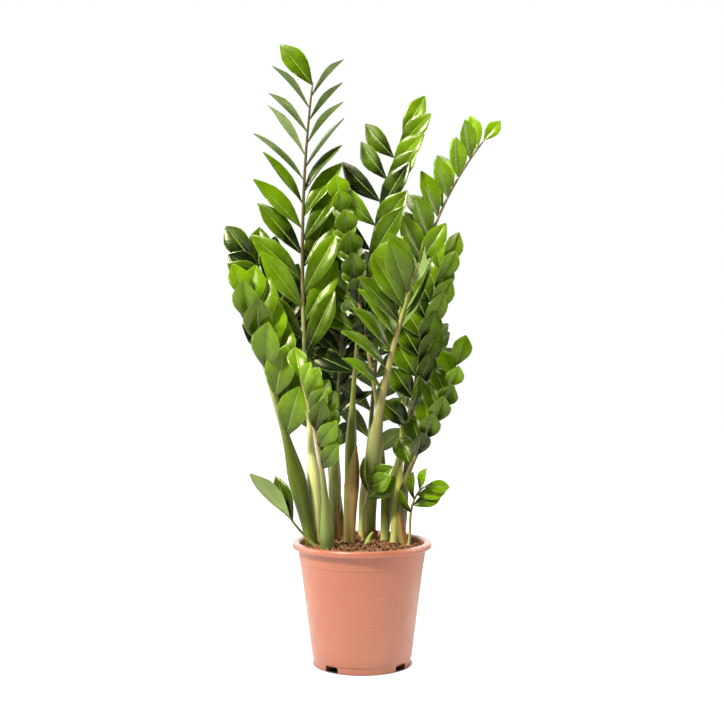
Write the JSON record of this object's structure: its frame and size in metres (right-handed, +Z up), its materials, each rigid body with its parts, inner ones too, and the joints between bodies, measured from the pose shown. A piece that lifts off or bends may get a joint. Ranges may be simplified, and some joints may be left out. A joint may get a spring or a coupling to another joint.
{
  "type": "potted zz plant",
  "caption": "Potted ZZ plant with upright pinnate fronds on bulbous petioles, standing in soil in a round tapered nursery pot with a rolled rim.",
  "frame": {"origin": "centre of the plant's footprint, on the pot's axis, at the surface the pot stands on", "axes": "+Z up along the pot's axis, -Y towards the front of the plant, +X to its right"},
  "size_m": [0.4364, 0.2561, 0.9388],
  "materials": {
    "pot_plastic": "satin",
    "soil": "matte",
    "leaf": "gloss",
    "dry_sheath": "matte",
    "shoot": "satin",
    "rhizome": "matte"
  },
  "bodies": {
    "root": {"pot": "pot_plastic", "soil": "soil", "rhizome_left": "rhizome", "rhizome_centre": "rhizome", "rhizome_right": "rhizome", "frond_front": "leaf", "frond_short": "leaf", "frond_left": "leaf", "frond_right_low": "leaf", "frond_centre_near": "leaf", "frond_tall_left": "leaf", "frond_tall_centre": "leaf", "frond_tall_right": "leaf", "frond_right": "leaf", "frond_centre_far": "leaf", "frond_left_far": "leaf", "frond_back_left": "leaf", "frond_back": "leaf", "frond_back_right": "leaf", "sprig_left": "leaf", "sprig_front": "leaf", "sprig_right": "leaf", "sheath_tall": "dry_sheath", "sheath_collar": "dry_sheath", "sheath_left": "dry_sheath", "sheath_centre": "dry_sheath", "sheath_right": "dry_sheath", "new_shoot": "shoot"}
  },
  "joints": []
}
